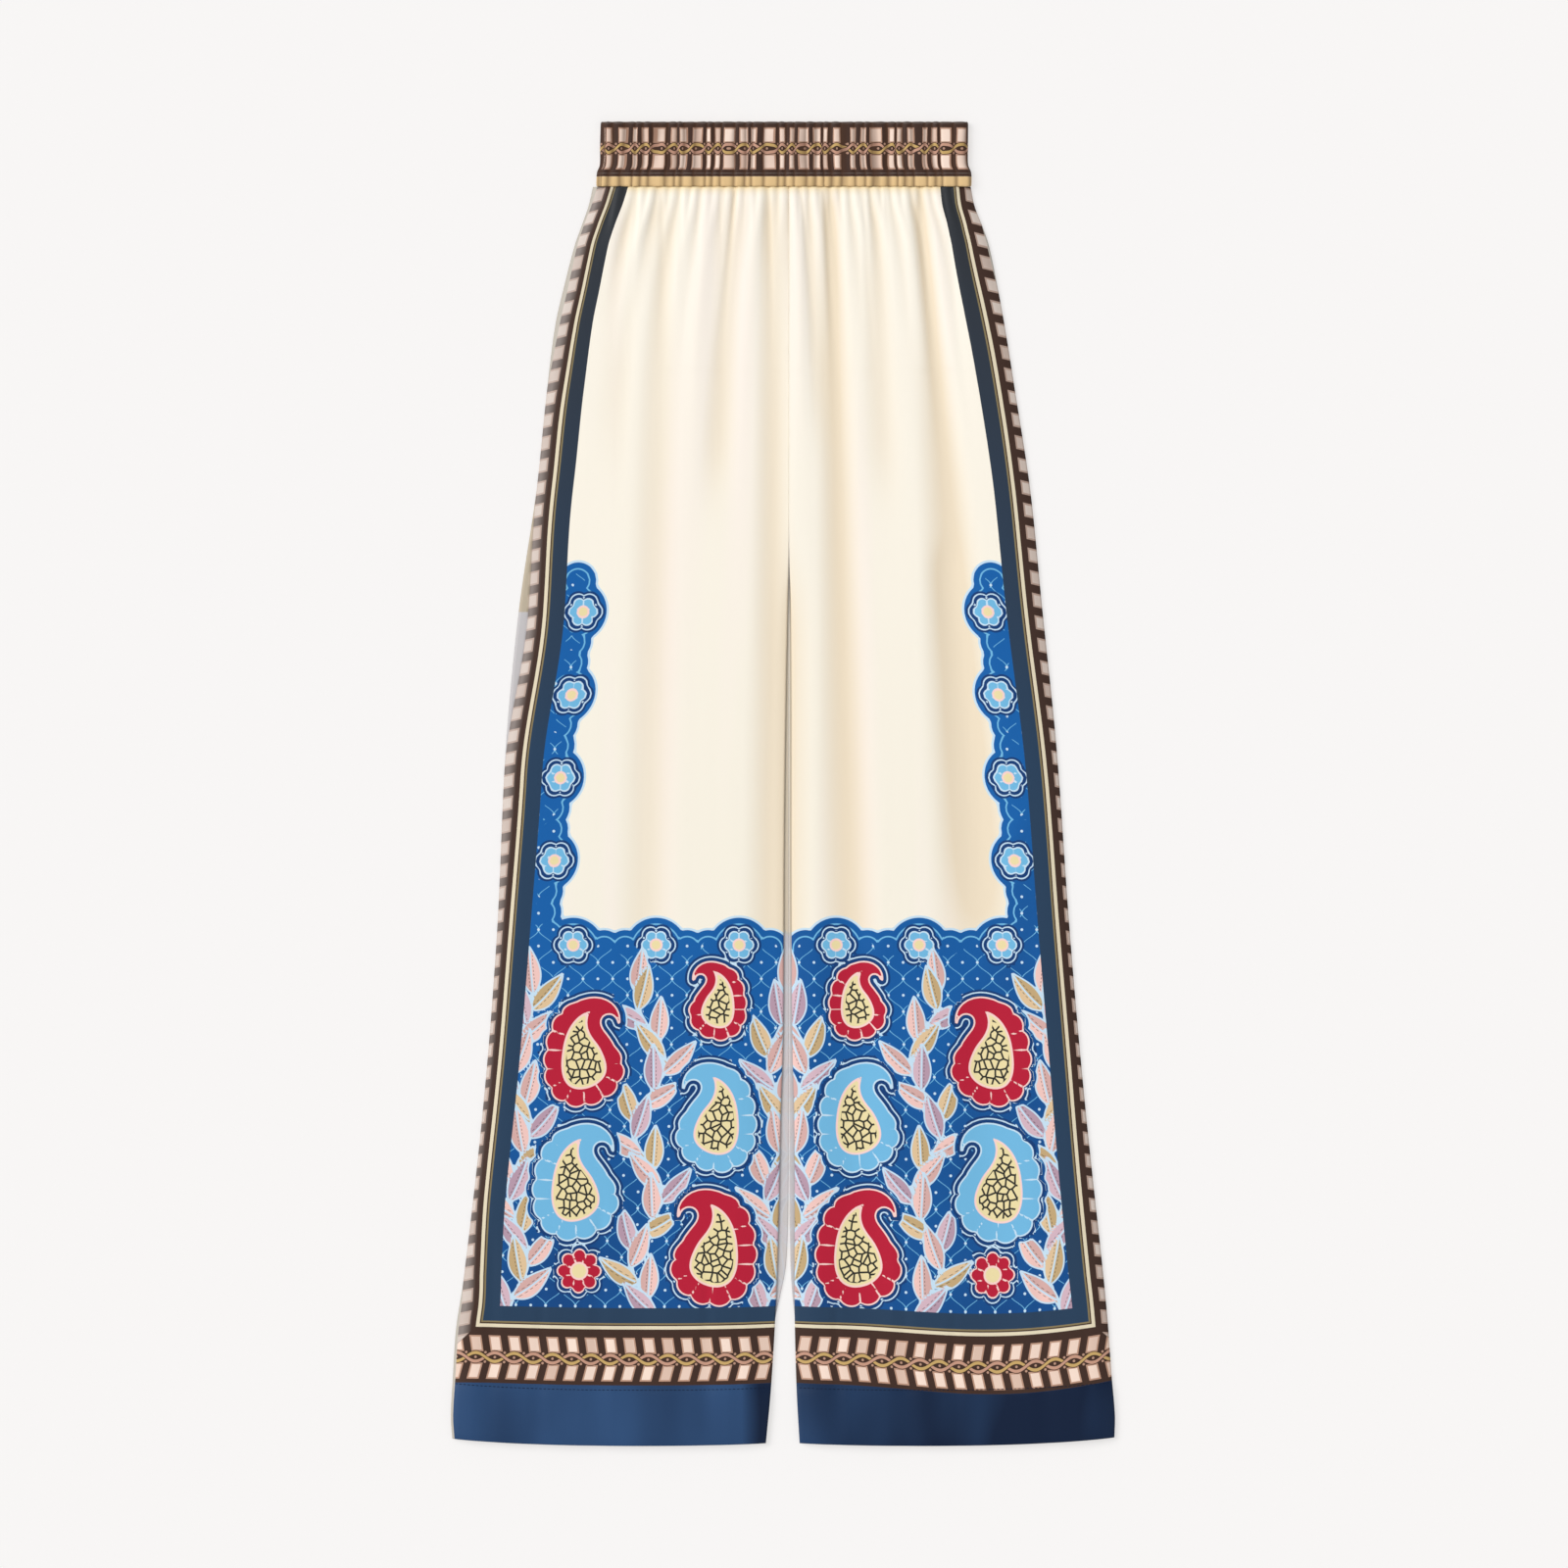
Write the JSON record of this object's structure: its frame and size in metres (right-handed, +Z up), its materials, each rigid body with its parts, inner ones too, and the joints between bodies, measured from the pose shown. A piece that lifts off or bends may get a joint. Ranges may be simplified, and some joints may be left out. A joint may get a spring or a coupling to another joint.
{
  "type": "palazzo pants",
  "caption": "Pull-on wide-leg trousers laid flat: gathered elastic waistband, straight full legs with bordered sides and deep turned-up hems.",
  "frame": {"origin": "middle of the bounding box, on the surface that the trousers lie on", "axes": "+Y to the waist, +X to the wearer's left, +Z up from the surface, out of the front of the trousers"},
  "size_m": [0.5363, 1.0697, 0.0079],
  "materials": {
    "front_left_leg": "printed silk twill, soft sheen",
    "front_right_leg": "printed silk twill, soft sheen",
    "back_left_leg": "printed silk twill, soft sheen",
    "back_right_leg": "printed silk twill, soft sheen",
    "waistband": "printed silk twill ruched over elastic"
  },
  "bodies": {
    "root": {"front_left_leg": "front_left_leg", "front_right_leg": "front_right_leg", "back_left_leg": "back_left_leg", "back_right_leg": "back_right_leg", "waistband": "waistband"}
  },
  "joints": []
}
